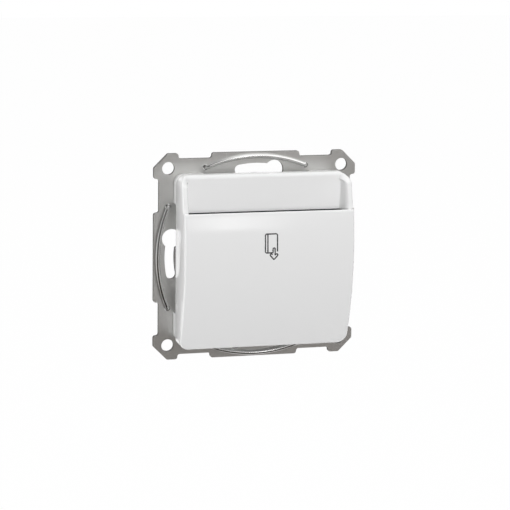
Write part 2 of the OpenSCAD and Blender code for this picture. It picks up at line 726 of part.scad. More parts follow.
// Rivets from the carrier's base through plate and lid into the housing
module housing_rivets() color("silver") for (p = tie_spots) {
  bar(p.x, p.y, tie_d, -tie_back, plate_t + carrier_base_t);
  bar(p.x, p.y, tie_head_d, plate_t + carrier_base_t, plate_t + carrier_base_t + tie_head_t);
}

// Moving contact: a blade that hangs on its pin, with a hole for its rivet
module contact_blade() color("peru") difference() {
  union() {
    cross_bar(-blade_back, blade_z, blade_pin_d + 2 * strip_t, blade_w);
    across(-blade_w / 2, blade_w / 2)
      polygon(span(blade_front, blade_front + strip_t, blade_low_z, blade_z));
  }
  cross_bar(-blade_back, blade_z, blade_pin_d + 2 * run, blade_w + over);
  bar(0, contact_z, rivet_d / 2, -blade_back - over, over - blade_back);
}

module blade_rivet() color("silver") {
  bar(0, contact_z, rivet_d, -moving_rear, rivet_t - moving_rear);
  bar(0, contact_z, rivet_d / 2 - 2 * press, rivet_t - moving_rear, -blade_front);
  bar(0, contact_z, rivet_d, -blade_front, -moving_front);
}

module blade_pin() color("silver") cross_bar(-blade_back, blade_z, blade_pin_d, blade_w + 2 * (ear_gap + strip_t));

// Bracket of the common terminal: a base below the pillar and two ears for the blade's pin
module common_bracket() color("goldenrod") difference() {
  ear = blade_w / 2 + ear_gap;
  union() {
    forward(-bracket_front - bracket_l, -bracket_front)
      polygon(span(-ear - strip_t, ear + strip_t, bracket_z - strip_t, bracket_z));
    both_sides() across(ear, ear + strip_t)
      polygon(span(blade_back - ear_w / 2, blade_back + ear_w / 2, blade_z - ear_w / 2, bracket_z - strip_t / 2));
  }
  cross_bar(-blade_back, blade_z, blade_pin_d + 2 * press, 2 * (ear + over));
}

// Fixed contact strip with a foot on the pillar at its side, which is -1 for left or 1 for right
module fixed_contact(side, front, foot_front) difference() {
  mirror([side < 0 ? 1 : 0, 0, 0]) {
    forward(-front - strip_t, -front)
      polygon(span(-strip_over, chamber_half, contact_z - strip_w / 2, contact_z + strip_w / 2));
    forward(-foot_front - foot_l, -foot_front)
      polygon(span(chamber_half - strip_t, chamber_half, contact_z - strip_w / 2, contact_z + strip_w / 2));
  }
  bar(0, contact_z, rivet_d / 2, -front - strip_t - over, over - front);
}

// Fixed contact rivet: a head on the strip's contact side and a shank through it
module fixed_rivet(face, out) color("silver") {
  bar(0, contact_z, rivet_d, -max(face, face + out * rivet_t), -min(face, face + out * rivet_t));
  bar(0, contact_z, rivet_d / 2 - 2 * press,
      -max(face + out * rivet_t, face + out * (rivet_t + strip_t)),
      -min(face + out * rivet_t, face + out * (rivet_t + strip_t)));
}

module break_contact() color("goldenrod")
  fixed_contact(-1, break_face - rivet_t - strip_t, break_face - rivet_t - strip_t);
module break_rivet() fixed_rivet(break_face, -1);
module make_contact() color("goldenrod") fixed_contact(1, make_back - strip_t, make_back - foot_l);
module make_rivet() fixed_rivet(make_face, 1);

// Pillar terminals: a wire bore from behind, met by the screw's thread from the side
module terminal_pillars() color("goldenrod") for (p = pillar_mids) difference() {
  translate([p.x - pillar_w / 2, pillar_front, p.y - pillar_h / 2]) cube([pillar_w, pillar_l, pillar_h]);
  bar(p.x, p.y, wire_hole_d, -housing_back, over - pillar_front);
  translate([p.x, screw_y, p.y]) rotate([p.z < 0 ? 180 : 0, 0, 0]) cylinder(d = screw_d + 2 * press, h = pillar_h);
}

module terminal_screws() color("silver") for (p = pillar_mids)
  translate([p.x, screw_y, p.y]) rotate([p.z < 0 ? 180 : 0, 0, 0]) difference() {
    union() {
      translate([0, 0, wire_hole_d / 2 + fit]) cylinder(d = screw_d, h = (pillar_h - wire_hole_d) / 2);
      translate([0, 0, pillar_h / 2 + fit]) cylinder(d = screw_head_d, h = screw_head_t);
    }
    translate([-screw_head_d, -screw_slot_w / 2, pillar_h / 2 + fit + screw_head_t / 2])
      cube([2 * screw_head_d, screw_slot_w, screw_head_t]);
  }

support_plate();
frame_spring(0);  // frame_spring_top
frame_spring(90);  // frame_spring_right
frame_spring(180);  // frame_spring_bottom
frame_spring(270);  // frame_spring_left
front_cover();
card_guide();
cover_carrier();
card_lever();
lever_pin();
plunger();
plunger_spring();
mechanism_lid();
rear_housing();
housing_rivets();
contact_blade();
blade_rivet();
blade_pin();
common_bracket();
break_contact();
break_rivet();
make_contact();
make_rivet();
terminal_pillars();
terminal_screws();
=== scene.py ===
import math
from collections import namedtuple

import bmesh
import bpy
import numpy as np
from mathutils import Matrix


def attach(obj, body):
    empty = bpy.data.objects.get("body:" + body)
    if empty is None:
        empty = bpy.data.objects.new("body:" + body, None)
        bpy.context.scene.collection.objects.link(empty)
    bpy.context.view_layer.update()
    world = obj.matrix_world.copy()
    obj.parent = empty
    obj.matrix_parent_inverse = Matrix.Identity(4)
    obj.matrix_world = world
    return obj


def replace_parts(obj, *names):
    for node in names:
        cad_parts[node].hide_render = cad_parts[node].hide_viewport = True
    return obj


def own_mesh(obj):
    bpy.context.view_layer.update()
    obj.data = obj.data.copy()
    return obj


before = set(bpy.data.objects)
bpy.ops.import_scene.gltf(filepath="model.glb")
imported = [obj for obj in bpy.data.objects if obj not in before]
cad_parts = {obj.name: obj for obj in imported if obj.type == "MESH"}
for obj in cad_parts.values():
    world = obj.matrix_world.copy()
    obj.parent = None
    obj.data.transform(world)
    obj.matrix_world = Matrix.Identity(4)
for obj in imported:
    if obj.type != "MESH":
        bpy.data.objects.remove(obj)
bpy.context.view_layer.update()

MM = 0.001

# Cover, as in the part's source
COVER_HALF = 29.5
COVER_BACK = 8.4
CROWN_H = 21.5
CROWN_R = 78.0
CROWN_Z = 4.0
SIDE_LEAN = 0.2
LEAN = SIDE_LEAN / (CROWN_H - COVER_BACK)
CORNER_R = 3.4
CORNER_MID = COVER_HALF - CORNER_R
EDGE_R = 0.5
PANEL_T = 2.0
LIP_Z = 17.7
LIP_R = 0.4
LIP_DROP = 0.6
LIP_INNER_Z = LIP_Z - LIP_DROP
LEDGE_Z = LIP_Z - LIP_R
CHEEK_STEP = 1.2
CHEEK_FOOT = 0.05
POCKET_HALF = 27.5
POCKET_LOW_Z = -27.5
ROOF_Z = 27.5
FACE_H = 12.4
FACE_BACK = 10.4
FACE_LOW_Z = 16.9
FACE_TOP_R = 1.2
CARD_RIB_X = (10.0, 20.0)
CARD_RIB_Z = (-14.0, 13.7)
CARD_RIB_T = 1.2
CARD_RIB_EDGE = 14.6
CARD_RIB_SLOPE = 2.2
CARD_RIB_ROOT = 1.0
HOOK_RIB_X = (26.2, 28.3)
HOOK_RIB_DEPTH = (8.6, 10.7)
HOOK_RIB_Z = (-9.0, 9.0)
HOOK_RIB_HALF = 3.5

# Finer forms of the cover: the back rim's rounding, the lip's inner edge and the soft run of the cheeks
RIM_R = 0.15
LIP_INNER_R = 0.3
LIP_INNER_RISE = 0.08
LIP_SLOPE_RUN = 0.1
LIP_SLOPE_FALL = 0.014
CHEEK_FLAT = 0.9
CHEEK_ROUND = 0.5
CHEEK_STOP = 0.6
CHEEK_SWELL = 0.3
CHEEK_SWELL_Z = 22.6
CHEEK_SWELL_H = 4.4
CHEEK_SWELL_POWER = 1.5

# How finely the cover's surfaces are divided. ACROSS holds shares of the way from the outline to the
# cover's middle, which lie closer together near the outline.
CORNER_STEPS = 15
SIDE_STEPS = 57
LIP_STEPS = 11
CHEEK_STEPS = 21
TOP_TURN_STEPS = 19
RIM_STEPS = 4
EDGE_STEPS = 10
BEND_STEPS = 5
PANEL_STEPS = 30
FLAT_STEPS = 3
RUN_STEPS = 12
WALL_STEPS = 8
RIB_STEPS = 13
RING_ROUNDS = 4
DENSE_SHARE = 0.06
ACROSS = np.concatenate([np.linspace(0, DENSE_SHARE, 5), np.linspace(DENSE_SHARE, 1, 41)[1:]])
PANEL_Z = np.linspace(LIP_INNER_Z - LIP_INNER_R, POCKET_LOW_Z, PANEL_STEPS)
MERGE = 0.004

# Frame springs and return spring, as in the part's source
WIRE_R = 0.75
SPRING_DEPTH = 2.25
LEG_HALF = 17.5
LEG_REACH = 30.6
BOW_RISE = 3.6
BEND_R = 1.1
LEG_OUT = 1.0
COIL_WIRE_R = 0.35
COIL_R = 3.45
COIL_TURNS = 4
COIL_Z = -7.0
COIL_FROM = -0.75
COIL_TO = 3.9

# How finely the wires are divided, and how narrow their cut ends are
BOW_STEPS = 40
BOW_BEND_STEPS = 14
LEG_SHARES = (0.6, 0.95, 1.0)
BOW_SIDES = 20
COIL_TURN_STEPS = 40
COIL_SIDES = 12
CUT_END = 0.82

# Printed sign: width of its lines, how far they stand proud of the cover and reach into it
SIGN_LINE = 0.42
SIGN_PROUD = 0.025
SIGN_ROOT = 0.05
SIGN_STEP = 0.25

# Score lines across the plate's tabs, in metres: their distance from the middle, where their shade starts
# and ends beside them, and where they start and are full along the way out
SCORE_AT = 0.0103
SCORE_SIDE = (0.00008, 0.0002)
SCORE_OUT = (0.0313, 0.0316)


# Meshes

def grid_faces(rows, cols, first=0, wrap=False):
    """Quads of a grid of rows by cols points, numbered row by row from first. Wrap joins the last column
    to the first."""
    i, j = np.meshgrid(np.arange(rows - 1), np.arange(cols if wrap else cols - 1), indexing="ij")
    n = (j + 1) % cols
    quads = np.stack([i * cols + j, i * cols + n, (i + 1) * cols + n, (i + 1) * cols + j], axis=-1)
    return first + quads.reshape(-1, 4)


def join_grids(grids):
    """Points and quads of several grids, as one list. Each comes with a point on its inner side, and its
    quads turn so that they face away from that point."""
    points, faces, first = [], [], 0
    for grid, inside in grids:
        quads = grid_faces(*grid.shape[:2])
        flat = grid.reshape(-1, 3)
        corner = flat[quads]
        square = np.cross(corner[:, 2] - corner[:, 0], corner[:, 3] - corner[:, 1])
        if (square * (corner.mean(axis=1) - np.asarray(inside))).sum() < 0:
            quads = quads[:, ::-1]
        points.append(flat)
        faces.append(quads + first)
        first += len(flat)
    return np.concatenate(points), np.concatenate(faces)


def close_seams(work, near):
    """Closes a mesh of joined grids: splits each open edge where an open corner of another grid lies on
    it, at that corner's share of the edge's length, merges corners closer than near, and fills the small
    gaps that are left."""
    rims = [edge for edge in work.edges if edge.is_boundary]
    corners = np.array([corner.co[:] for corner in {corner for edge in rims for corner in edge.verts}])
    for edge in rims:
        corner = edge.verts[0]
        first, last = (np.array(end.co[:]) for end in edge.verts)
        length = np.linalg.norm(last - first)
        run = (last - first) / length
        along = (corners - first) @ run
        off = np.linalg.norm(corners - first - along[:, None] * run, axis=1)
        done = 0.0
        for cut in np.sort(along[(off < near) & (along < length - near)]):
            if cut - done > near:
                _, corner = bmesh.utils.edge_split(edge, corner, (cut - done) / (length - done))
                done = cut
    bmesh.ops.remove_doubles(work, verts=work.verts, dist=near)
    bmesh.ops.holes_fill(work, edges=[edge for edge in work.edges if edge.is_boundary], sides=0)


def make_piece(name, points, faces, finish, body, merge=0.0, angle=40.0):
    """A mesh of points in millimetres, smooth but for edges sharper than angle. Doubles closer than merge
    go where the faces already point outwards, and its seams are closed. Otherwise the faces turn
    outwards."""
    mesh = bpy.data.meshes.new(name)
    mesh.from_pydata((np.asarray(points) * MM).tolist(), [], [list(f) for f in faces])
    work = bmesh.new()
    work.from_mesh(mesh)
    if merge:
        bmesh.ops.remove_doubles(work, verts=work.verts, dist=merge * MM)
        bmesh.ops.dissolve_degenerate(work, edges=work.edges, dist=merge * MM)
        close_seams(work, merge * MM)
    else:
        bmesh.ops.recalc_face_normals(work, faces=work.faces)
    work.to_mesh(mesh)
    work.free()
    mesh.polygons.foreach_set("use_smooth", np.ones(len(mesh.polygons), bool))
    mesh.set_sharp_from_angle(angle=math.radians(angle))
    mesh.materials.append(finish)
    piece = bpy.data.objects.new(name, mesh)
    bpy.context.scene.collection.objects.link(piece)
    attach(piece, body)
    return piece


def spread(x, y, z):
    """A grid of points whose coordinates each run along its rows, its columns, both or neither."""
    return np.stack(np.broadcast_arrays(x, y, z), axis=-1)


# Cover

Outline = namedtuple("Outline", "x z way fall rank start turned foot corner")


def crown(z, inset=0.0):
    """Depth of the crowned front at height z: an arc of CROWN_R about a level axis, or the arc that lies
    inset behind it."""
    return CROWN_H - CROWN_R + np.sqrt((CROWN_R - inset) ** 2 - (z - CROWN_Z) ** 2)


def lip_fall(z):
    """How far the front lies behind the crown: nothing up to the ledge, a quarter-round up to the lip,
    then the cheeks' step."""
    rise = np.clip((z - LEDGE_Z) / LIP_R, 0, 1)
    return np.where(z > LIP_Z + 1e-6, CHEEK_STEP, LIP_R * (1 - np.sqrt(1 - rise ** 2)))


def cover_outline():
    """Spots along the right half of the cover's outline, from the bottom's middle round the corner, up
    the side, over the lip's end and the cheek, round the top corner and along the top edge to its middle.
    Each has a middle at x and z, the way out from there, its fall behind the crown, and its rank: 1 on
    the crown, sinking round the top corner to 0 on the recessed face. Also gives the number of the first
    spot of the bottom corner, the side, the cheek and the top edge."""
    turn = np.radians(np.linspace(-90, 0, CORNER_STEPS))
    side_z = np.linspace(-CORNER_MID, LEDGE_Z, SIDE_STEPS)[1:]
    lip_z = LEDGE_Z + LIP_R * np.sin(np.radians(np.linspace(0, 90, LIP_STEPS)))[1:]
    cheek_z = np.linspace(LIP_Z + CHEEK_FOOT, CORNER_MID, CHEEK_STEPS)
    top_turn = np.radians(np.linspace(0, 90, TOP_TURN_STEPS))[1:]
    edge_x = CORNER_MID * (1 - ACROSS)
    level = len(ACROSS) - 1
    counts = [level, len(turn), len(side_z) + len(lip_z), len(cheek_z) + len(top_turn)]
    start, turned, foot, corner = np.cumsum(counts)
    rise_z = np.concatenate([side_z, lip_z, cheek_z])
    upright = np.full(corner - start, CORNER_MID)
    x = np.concatenate([edge_x[:0:-1], upright, edge_x[1:]])
    z = np.concatenate([np.full(turned, -CORNER_MID), rise_z, np.full(len(top_turn) + level, CORNER_MID)])
    way = np.concatenate([np.full(level, -np.pi / 2), turn, np.zeros(len(rise_z)), top_turn,
                          np.full(level, np.pi / 2)])
    rank = np.where(z < CORNER_MID, 1.0, np.cos(way) ** 2)
    return Outline(x, z, way, lip_fall(z), rank, start, turned, foot, corner)


def outline_ring(line, inward, drop=None, depth=None):
    """One level of the cover: the outline moved inward, at a fixed depth or by drop behind the front at
    each point's own height. The walls lean in by LEAN times the depth, so a few rounds settle inset and
    depth."""
    inset = np.broadcast_to(inward, line.x.shape)
    for _ in range(RING_ROUNDS):
        at_x = line.x + (CORNER_R - inset) * np.cos(line.way)
        at_z = line.z + (CORNER_R - inset) * np.sin(line.way)
        if drop is None:
            d = np.full(line.x.shape, depth)
        else:
            d = FACE_H + (crown(at_z) - line.fall - FACE_H) * line.rank - drop
        inset = inward + LEAN * (d - COVER_BACK)
    return np.stack([at_x, -d, at_z], axis=1)


def shell_grid(line):
    """Outside of the cover: levels that lead round the back rim by a quarter-round of RIM_R, up the
    leaning wall and over the front edge by a quarter-round that grows from EDGE_R to FACE_TOP_R along the
    top."""
    edge_r = FACE_TOP_R + (EDGE_R - FACE_TOP_R) * line.rank
    rim = np.radians(np.linspace(0, 90, RIM_STEPS))
    edge = np.radians(np.linspace(0, 90, EDGE_STEPS))
    back = [outline_ring(line, RIM_R * (1 - math.sin(a)), depth=COVER_BACK + RIM_R * (1 - math.cos(a)))
            for a in rim]
    front = [outline_ring(line, edge_r * (1 - math.cos(a)), drop=edge_r * (1 - math.sin(a))) for a in edge]
    return np.stack(back + front)


def to_middle(points):
    """A grid of points carried straight across to the cover's middle, in the shares of ACROSS."""
    ones = np.ones_like(ACROSS)
    return points[:, None, :] * np.stack([1 - ACROSS, ones, ones], axis=1)[None]


def panel_back_grid(lip_end):
    """Back of the panel: from the lip's front edge down its slope, round the inner edge by part of a
    quarter-round, and down the arc that lies PANEL_T behind the crown to the pocket's floor."""
    bend = np.radians(np.linspace(15, 75, BEND_STEPS))
    round_d = crown(LIP_INNER_Z, PANEL_T) + LIP_INNER_R * (1 - np.sin(bend))
    round_z = LIP_INNER_Z - LIP_INNER_R * (1 - np.cos(bend)) + LIP_INNER_RISE
    d = np.concatenate([[-lip_end[1], -lip_end[1] - LIP_SLOPE_RUN], round_d, crown(PANEL_Z, PANEL_T)])
    z = np.concatenate([[LIP_Z, LIP_Z - LIP_SLOPE_FALL], round_z, PANEL_Z])
    half = np.concatenate([[lip_end[0]] * 2, np.full(len(z) - 2, POCKET_HALF)])
    return spread(half[:, None] * (1 - ACROSS)[None, :], -d[:, None], z[:, None])


def cheek_grid(line, front_ring):
    """Cheek and top edge: each line runs inwards from the front ring, level at first, and then sinks to
    the recessed face in an S of two quarter-rounds. The S is wider at the cheek's foot. A lowest row ends
    it at the height of the recessed face's foot."""
    spots, way = front_ring[line.foot:], line.way[line.foot:]
    out = np.stack([np.cos(way), np.zeros(len(spots)), np.sin(way)], axis=1)
    middle = np.stack([line.x, np.zeros(len(line.x)), line.z], axis=1)[line.foot:]
    deep = np.maximum(-spots[:, 1] - FACE_H, 0)[:, None]
    reach = ((spots - middle) * out).sum(axis=1)
    low = np.clip((CHEEK_SWELL_Z - spots[:, 2]) / CHEEK_SWELL_H, 0, 1)
    wide = (reach - CHEEK_FLAT - CHEEK_STOP + CHEEK_SWELL * low ** CHEEK_SWELL_POWER)[:, None]
    a = np.radians(np.linspace(0, 90, RUN_STEPS))
    b = a[1:]
    rest = 1 - CHEEK_ROUND
    run = CHEEK_FLAT + wide * np.concatenate([CHEEK_ROUND * np.sin(a), CHEEK_ROUND + rest * (1 - np.cos(b))])
    sink = deep * np.concatenate([CHEEK_ROUND * (1 - np.cos(a)), CHEEK_ROUND + rest * np.sin(b)])
    flat = np.linspace(0, CHEEK_FLAT, FLAT_STEPS + 1)[:-1]
    run = np.concatenate([np.broadcast_to(flat, (len(spots), FLAT_STEPS)), run], axis=1)
    sink = np.concatenate([np.zeros((len(spots), FLAT_STEPS)), sink], axis=1)
    back = np.array([0.0, 1.0, 0.0])
    cheek = spots[:, None, :] - run[:, :, None] * out[:, None, :] + sink[:, :, None] * back
    lowest = cheek[:1].copy()
    lowest[:, :, 2] = FACE_LOW_Z
    return np.concatenate([lowest, cheek])


def pocket_grids(line, rim, face_x):
    """Inside of the cover as flat grids: the hollow behind the recessed face, the lower and the upper
    side wall, the pocket's floor, and the level back rim between the inner walls and the outside."""
    hollow_d = np.array([FACE_H, FACE_BACK, FACE_BACK, COVER_BACK])
    hollow_z = np.array([FACE_LOW_Z, FACE_LOW_Z, ROOF_Z, ROOF_Z])
    hollow_x = np.concatenate([[POCKET_HALF], face_x])
    hollow = spread(hollow_x[None, :], -hollow_d[:, None], hollow_z[:, None])
    wall_z = np.concatenate([[FACE_LOW_Z], PANEL_Z])
    wall_front = crown(np.minimum(wall_z, PANEL_Z[0]), PANEL_T)[:, None]
    wall_d = COVER_BACK + (wall_front - COVER_BACK) * np.linspace(0, 1, WALL_STEPS)[None, :]
    wall_low = spread(POCKET_HALF, -wall_d, wall_z[:, None])
    high_d, high_z = np.array([COVER_BACK, FACE_BACK]), np.array([FACE_LOW_Z, ROOF_Z])
    wall_high = spread(POCKET_HALF, -high_d[None, :], high_z[:, None])
    floor_x = POCKET_HALF * (1 - ACROSS)
    pocket_floor = spread(floor_x[None, :], -wall_d[-1][:, None], POCKET_LOW_Z)
    upright = np.full(len(line.x) - 2 * len(ACROSS) + 1, POCKET_HALF)
    rim_x = np.concatenate([floor_x[:0:-1], upright, face_x])
    rim_z = np.clip(rim[:, 2], POCKET_LOW_Z, ROOF_Z)
    rim_z[:line.turned] = POCKET_LOW_Z
    rim_z[line.corner:] = ROOF_Z
    back_rim = np.stack([rim, np.stack([rim_x, np.full(len(rim), -COVER_BACK), rim_z], axis=1)])
    return hollow, wall_low, wall_high, pocket_floor, back_rim


def cover_grids():
    """Right half of the cover as grids, each with a point on its inner side: the outside, the crowned
    front, the panel's back, the cheek, the recessed face, the cheek's underside, the lip's end and the
    inner walls."""
    line = cover_outline()
    shell = shell_grid(line)
    front_ring = shell[-1]
    lip_end, cheek_foot = front_ring[line.foot - 1], front_ring[line.foot]
    front = to_middle(front_ring[line.start:line.foot])
    panel_back = panel_back_grid(lip_end)
    cheek = cheek_grid(line, front_ring)
    face = to_middle(cheek[:1 + line.corner - line.foot, -1])
    under = np.stack([cheek[0], cheek[0]])
    under[1, :, 0] = POCKET_HALF
    under[1, :, 1] = np.maximum(under[1, :, 1], -crown(PANEL_Z[0], PANEL_T))
    seat = np.stack([[lip_end, cheek_foot], [panel_back[-PANEL_STEPS, 0], cheek[0, 0]]])
    hollow, wall_low, wall_high, pocket_floor, back_rim = pocket_grids(line, shell[0], face[0, :, 0])
    return [(shell, (0, -14, 0)), (front, (0, 0, 0)), (panel_back, (0, -100, -20)), (cheek, (60, 0, 20)),
            (face, (0, 0, 20)), (under, (0, 0, 100)), (seat, (100, -19, 18)), (hollow, (0, -30, 60)),
            (wall_low, (100, -14, 0)), (wall_high, (100, -14, 20)), (pocket_floor, (0, -14, -100)),
            (back_rim, (0, -100, 0))]


def rib_grids():
    """Right half of the ribs inside the cover as closed six-sided forms: the card ribs behind the panel,
    whose root follows the crown and whose edge slopes at the top, and the short ribs in the side walls
    that the carrier's hooks hold."""
    z = np.linspace(*CARD_RIB_Z, RIB_STEPS)
    edge = CARD_RIB_EDGE + np.maximum(z - CARD_RIB_Z[1] + CARD_RIB_SLOPE, 0)
    root = crown(z, CARD_RIB_ROOT)
    sides = ((0, edge), (CARD_RIB_T, edge), (CARD_RIB_T, root), (0, root), (0, edge))
    loops = [np.stack([spread(x + across, -d, z) for across, d in sides], axis=1) for x in CARD_RIB_X]
    (near, far), (low, high) = HOOK_RIB_X, HOOK_RIB_DEPTH
    corners = np.array([(near, -low), (far, -low), (far, -high), (near, -high), (near, -low)])
    for middle in HOOK_RIB_Z:
        ends = np.array([middle - HOOK_RIB_HALF, middle + HOOK_RIB_HALF])
        loops.append(spread(corners[None, :, 0], corners[None, :, 1], ends[:, None]))
    grids = []
    for loop in loops:
        inside = loop[:, :4].reshape(-1, 3).mean(axis=0)
        caps = [loop[row, [0, 1, 3, 2]].reshape(2, 2, 3) for row in (0, -1)]
        grids += [(grid, inside) for grid in (loop, *caps)]
    return grids


def make_cover(finish):
    """The cover: the right half's grids and their mirror image, merged along the middle."""
    points, faces = join_grids(cover_grids() + rib_grids())
    mirrored = points * np.array([-1, 1, 1])
    cover = make_piece("cover_shell", np.concatenate([points, mirrored]),
                       np.concatenate([faces, faces[:, ::-1] + len(points)]),
                       finish, "base", merge=MERGE)
    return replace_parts(cover, "front_cover")


# Wire springs

def make_wire(name, path, out, radius, finish, body, sides):
    """A round wire: a circle of the given radius, square to the path, carried along it. out points away
    from the path at each station, and the cut ends have a small chamfer."""
    run = np.gradient(path, axis=0)
    run /= np.linalg.norm(run, axis=1)[:, None]
    out = out - (out * run).sum(1)[:, None] * run
    out /= np.linalg.norm(out, axis=1)[:, None]
    side = np.cross(run, out)
    turn = np.linspace(0, 2 * np.pi, sides, endpoint=False)
    width = np.ones(len(path))
    width[[0, -1]] = CUT_END
    spokes = np.cos(turn)[None, :, None] * out[:, None, :] + np.sin(turn)[None, :, None] * side[:, None, :]
    points = path[:, None, :] + radius * width[:, None, None] * spokes
    count = len(path) * sides
    ring = np.arange(sides)
    after = (ring + 1) % sides
    last = count - sides
    first_end = np.stack([np.full(sides, count), after, ring], axis=1)
    last_end = np.stack([np.full(sides, count + 1), last + ring, last + after], axis=1)
    faces = grid_faces(len(path), sides, wrap=True).tolist() + first_end.tolist() + last_end.tolist()
    points = np.concatenate([points.reshape(-1, 3), path[[0, -1]]])
    return make_piece(name, points, faces, finish, body, angle=50)


def bow_path():
    """Path of the frame spring on the top edge: an arc through the legs' bends, a quarter-turn back at
    each end and a straight leg through the plate. Returns the points and the outward direction at
    each."""
    radius = (LEG_HALF ** 2 + BOW_RISE ** 2) / (2 * BOW_RISE)
    angle = math.asin(LEG_HALF / math.hypot(radius, BEND_R)) - math.atan2(BEND_R, radius)
    mid_z = LEG_REACH + BEND_R * math.sin(angle) - radius * math.cos(angle)
    a = np.linspace(0, angle, BOW_STEPS)
    bow = np.stack([radius * np.sin(a), np.zeros_like(a), radius * np.cos(a)], axis=1)
    end_out = np.array([math.sin(angle), 0, math.cos(angle)])
    end_run = np.array([math.cos(angle), 0, -math.sin(angle)])
    back = np.array([0.0, 1.0, 0.0])
    b = np.linspace(0, np.pi / 2, BOW_BEND_STEPS)[1:, None]
    bend = radius * end_out + BEND_R * (np.sin(b) * end_run + (1 - np.cos(b)) * back)
    share = np.array(LEG_SHARES)[:, None]
    down = share * (SPRING_DEPTH + LEG_OUT) + (1 - share) * BEND_R
    leg = radius * end_out + BEND_R * end_run + down * back
    right = np.concatenate([bow, bend, leg])
    out = np.concatenate([bow / radius, np.broadcast_to(end_out, (len(bend) + len(leg), 3))])
    mirror = np.array([-1, 1, 1])
    path = np.concatenate([(right * mirror)[:0:-1], right]) + np.array([0, -SPRING_DEPTH, mid_z])
    return path, np.concatenate([(out * mirror)[:0:-1], out])


def make_frame_springs(finish):
    """Four wire bows, each a quarter-turn about the plate's middle from the last."""
    path, out = bow_path()
    for name, turn in (("top", 0), ("right", 90), ("bottom", 180), ("left", 270)):
        c, s = round(math.cos(math.radians(turn))), round(math.sin(math.radians(turn)))
        spin = np.array([[c, 0, s], [0, 1, 0], [-s, 0, c]])
        bow = make_wire("wire_bow_" + name, path @ spin.T, out @ spin.T, WIRE_R, finish, "base",
                        BOW_SIDES)
        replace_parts(bow, "frame_spring_" + name)


def make_return_spring(finish):
    """A helix of COIL_TURNS about the plunger's axis, from the lid's well to the plunger's head."""
    t = np.linspace(0, 1, COIL_TURN_STEPS * COIL_TURNS + 1)
    a = 2 * np.pi * COIL_TURNS * t
    out = np.stack([np.cos(a), np.zeros_like(a), np.sin(a)], axis=1)
    rise = COIL_FROM + (COIL_TO - COIL_FROM) * t
    path = COIL_R * out + np.stack([np.zeros_like(t), -rise, np.full_like(t, COIL_Z)], axis=1)
    coil = make_wire("return_coil", path, out, COIL_WIRE_R, finish, "base", COIL_SIDES)
    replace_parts(coil, "plunger_spring")
    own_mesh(coil)


# Printed sign

def soften(corners, radii, steps=7):
    """An open line through corners, with each inner corner turned into an arc of its own radius."""
    corners = np.asarray(corners, float)
    before, at, after = corners[:-2], corners[1:-1], corners[2:]
    u = (before - at) / np.linalg.norm(before - at, axis=1)[:, None]
    v = (after - at) / np.linalg.norm(after - at, axis=1)[:, None]
    half = np.arccos(np.clip((u * v).sum(1), -1, 1)) / 2
    radii = np.asarray(radii, float)
    cut = radii / np.tan(half)
    middle = at + (u + v) / np.linalg.norm(u + v, axis=1)[:, None] * (radii / np.sin(half))[:, None]
    first, last = at + u * cut[:, None] - middle, at + v * cut[:, None] - middle
    start = np.arctan2(first[:, 1], first[:, 0])
    sweep = (np.arctan2(last[:, 1], last[:, 0]) - start + np.pi) % (2 * np.pi) - np.pi
    a = start[:, None] + sweep[:, None] * np.linspace(0, 1, steps)[None, :]
    arcs = middle[:, None, :] + radii[:, None, None] * np.stack([np.cos(a), np.sin(a)], axis=-1)
    return np.concatenate([corners[:1], arcs.reshape(-1, 2), corners[-1:]])


def divide(line):
    """The line with points added so that they lie no more than about SIGN_STEP apart."""
    pieces = [line[:1]]
    for a, b in zip(line[:-1], line[1:]):
        count = max(2, int(np.hypot(*(b - a)) / SIGN_STEP) + 1)
        pieces.append(a + (b - a) * np.linspace(0, 1, count)[1:, None])
    return np.concatenate(pieces)


def stroke(line, width):
    """A printed line on the crown: a flat strip of the given width along the line, rooted in the cover
    and a little proud of it. Returns points and faces of the closed strip."""
    fine = divide(line)
    run = np.gradient(fine, axis=0)
    run /= np.linalg.norm(run, axis=1)[:, None]
    side = np.stack([-run[:, 1], run[:, 0]], axis=1) * width / 2
    left, right = fine + side, fine - side
    edges = ((left, -SIGN_ROOT), (left, SIGN_PROUD), (right, SIGN_PROUD), (right, -SIGN_ROOT))
    loop = np.stack([spread(p[:, 0], -(crown(p[:, 1]) + lift), p[:, 1]) for p, lift in edges], axis=1)
    last = 4 * (len(fine) - 1)
    ends = [[0, 1, 2, 3], [last, last + 3, last + 2, last + 1]]
    return loop.reshape(-1, 3), grid_faces(len(fine), 4, wrap=True).tolist() + ends


def make_sign(finish):
    """The sign: a card and an arrow that points down into the slot, drawn as one line, and the card's
    stripe."""
    line = soften([(2.28, 4.55), (2.28, 10.48), (-1.9, 10.48), (-1.9, 4.15), (0.757, 4.15), (0.757, 5.76),
                   (1.468, 5.76), (1.468, 3.38), (2.08, 3.92), (2.52, 3.37), (1.11, 1.78), (-0.3, 3.37),
                   (0.14, 3.92), (0.6, 3.45)],
                  [0.5, 0.5, 0.5, 0.08, 0.3, 0.3, 0.05, 0.3, 0.3, 0.25, 0.3, 0.3])
    stripe = np.array([(-1.05, 10.4), (-1.05, 4.2)])
    points, faces = stroke(line, SIGN_LINE)
    more, more_faces = stroke(stripe, SIGN_LINE)
    faces = faces + [[i + len(points) for i in f] for f in more_faces]
    make_piece("card_sign", np.concatenate([points, more]), faces, finish, "base")


# Finishes

VALUE, VECTOR = "NodeSocketFloat", "NodeSocketVector"

# What plastics share: size of the shade's drift, how handling darkens and dulls, how the grain changes the
# gloss, and the depth of the grain in metres
DRIFT_SCALE = 35.0
MARK_SHADE = -0.12
MARK_GLOSS = 0.10
GRAIN_GLOSS = 0.16
GRAIN_DEPTH = 0.00004
SPECKLE_SCALE = 1500.0

